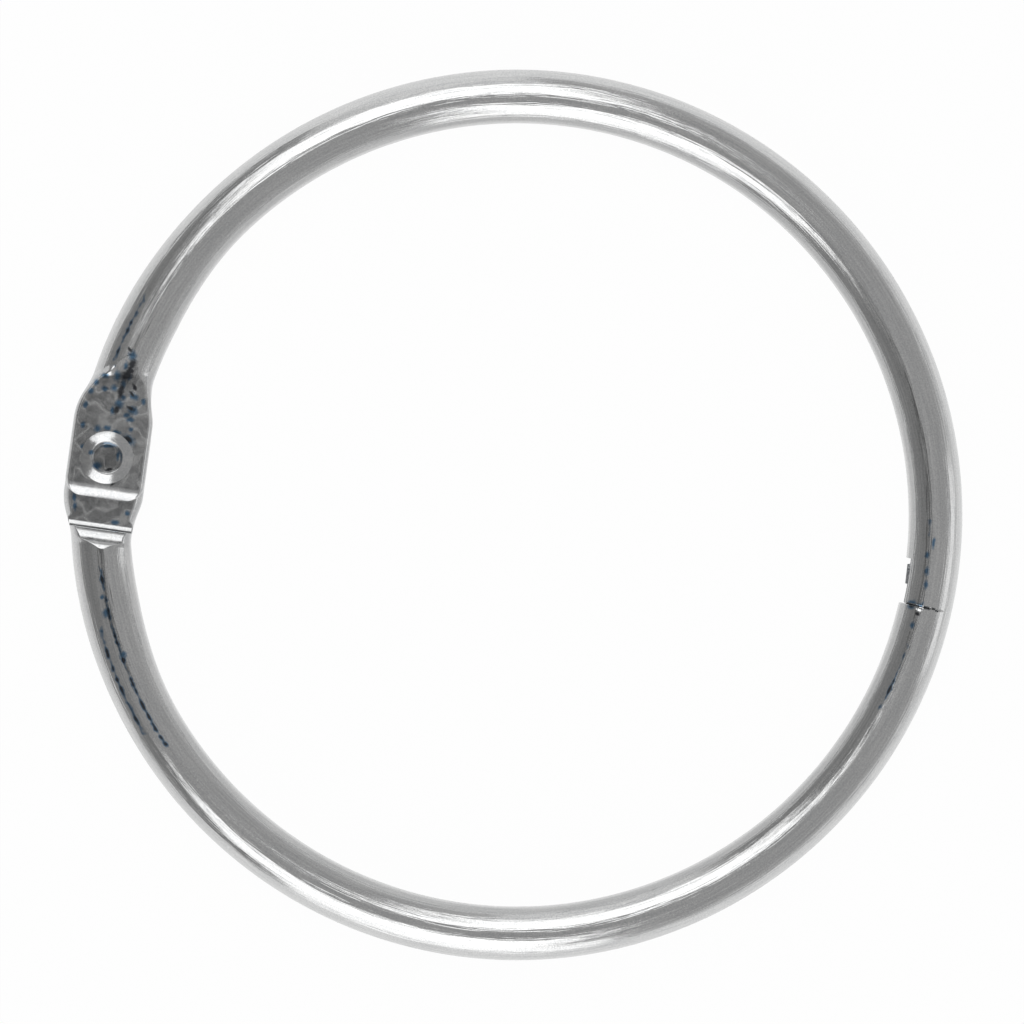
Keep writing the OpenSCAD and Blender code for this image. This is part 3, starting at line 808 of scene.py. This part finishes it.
# Only reflections see the painted glow
mirrored = add_node(tree, "ShaderNodeMath", {0: mirrored, 1: painted_glow}, operation="MULTIPLY").outputs[0]
share = add_node(tree, "ShaderNodeMath", {0: rays["Is Camera Ray"], 1: PLAIN_WHITE, 2: mirrored},
                 operation="MULTIPLY_ADD").outputs[0]
lit = add_node(tree, "ShaderNodeBsdfDiffuse", {"Color": linear("#F4F4F4")})
white = add_node(tree, "ShaderNodeEmission", {"Color": linear("#FFFFFF"), "Strength": 1.0})
both = add_node(tree, "ShaderNodeMixShader", {0: share, 1: lit.outputs[0], 2: white.outputs[0]})
add_node(tree, "ShaderNodeOutputMaterial", {"Surface": both.outputs[0]})
floor.data.materials.append(paper)

# The room: grey walls and ceiling, a little brighter towards the floor and darker on the left
WALL_FOOT, CEILING = 0.6, 0.43
LEFT_SHARE = 0.6
world = bpy.data.worlds.new("studio")
bpy.context.scene.world = world
world.use_nodes = True
tree = world.node_tree
tree.nodes.clear()
direction = add_node(tree, "ShaderNodeTexCoord").outputs["Generated"]
up = add_node(tree, "ShaderNodeSeparateXYZ", {0: direction}).outputs["Z"]
height = add_node(tree, "ShaderNodeMapRange", {"Value": up, "From Min": 0.0, "From Max": 0.5,
                                               "To Min": WALL_FOOT,
                                               "To Max": CEILING}).outputs["Result"]
leftward = add_node(tree, "ShaderNodeVectorMath", {0: direction, 1: (*-view_right, 0)},
                    operation="DOT_PRODUCT").outputs["Value"]
shade = add_node(tree, "ShaderNodeMapRange", {"Value": leftward, "From Min": 0.2, "From Max": 0.6,
                                              "To Min": 1.0, "To Max": LEFT_SHARE}).outputs["Result"]
level = add_node(tree, "ShaderNodeMath", {0: height, 1: shade}, operation="MULTIPLY").outputs[0]
room = add_node(tree, "ShaderNodeBackground", {"Color": linear("#FFFFFF"), "Strength": level})
add_node(tree, "ShaderNodeOutputWorld", {"Surface": room.outputs[0]})


def soft_box(name, azimuth, polar, width, height, radiance, distance=0.8):
    """A lamp in a soft box, aimed at the ring from a distance in metres. Azimuth is counted from the
    view's right and polar from straight up, and width and height are the angles that it fills."""
    turn = math.radians(azimuth) + VIEW_TURN
    tilt = math.radians(polar)
    data = bpy.data.lights.new(name, "AREA")
    data.shape = "RECTANGLE"
    data.size = 2 * distance * math.tan(math.radians(width / 2))
    data.size_y = 2 * distance * math.tan(math.radians(height / 2))
    data.energy = radiance * math.pi * data.size * data.size_y
    lamp = bpy.data.objects.new(name, data)
    lamp.location = (distance * math.sin(tilt) * math.cos(turn),
                     distance * math.sin(tilt) * math.sin(turn),
                     distance * math.cos(tilt))
    lamp.rotation_euler = (tilt, 0, turn + math.pi / 2)
    bpy.context.scene.collection.objects.link(lamp)
    return lamp


# The streaks along the wire mirror the three soft boxes, and its softer greys the lit walls
soft_box("soft_box_above", 105, 27, 29, 30, 1.5)
soft_box("soft_box_above_low", 104, 48, 46, 13, 1.3)
soft_box("soft_box_below", 250, 48, 42, 35, 1.45)
soft_box("wall_right", -7, 77, 28, 26, 0.6)
soft_box("wall_above", 103, 72, 30, 34, 0.4)
soft_box("wall_below", 260, 77, 44, 24, 1.1)

# A dark card close over the hinge side, with a faint glow of its own. The camera doesn't see it and it
# casts no shadow: it is seen only in the metal, as a painted dark reflection, the dark patch that the
# flat plates and the dimple mirror.
CARD_HALF_W, CARD_HALF_L = 20, 17
CARD_LEFT, CARD_UP = 40, 119
card_mesh = bmesh.new()
bmesh.ops.create_grid(card_mesh, x_segments=1, y_segments=1, size=1)
dark_reflection_card = as_object("dark_reflection_card", card_mesh)
dark_reflection_card.scale = (CARD_HALF_W * MM, CARD_HALF_L * MM, 1)
dark_reflection_card.location = (*(-CARD_LEFT * MM * view_right), CARD_UP * MM)
dark_reflection_card.rotation_euler = (0, 0, VIEW_TURN)
dark_reflection_card.visible_camera = dark_reflection_card.visible_diffuse = dark_reflection_card.visible_shadow = False
# Its faint glow is the painted dark reflection in the plates and the dimple
black = bpy.data.materials.new("painted_dark_reflection")
black.use_nodes = True
tree = black.node_tree
tree.nodes.clear()
dark = add_node(tree, "ShaderNodeEmission", {"Color": linear("#FFFFFF"), "Strength": 0.1})
add_node(tree, "ShaderNodeOutputMaterial", {"Surface": dark.outputs[0]})
dark_reflection_card.data.materials.append(black)

bpy.context.scene.view_settings.view_transform = "Standard"
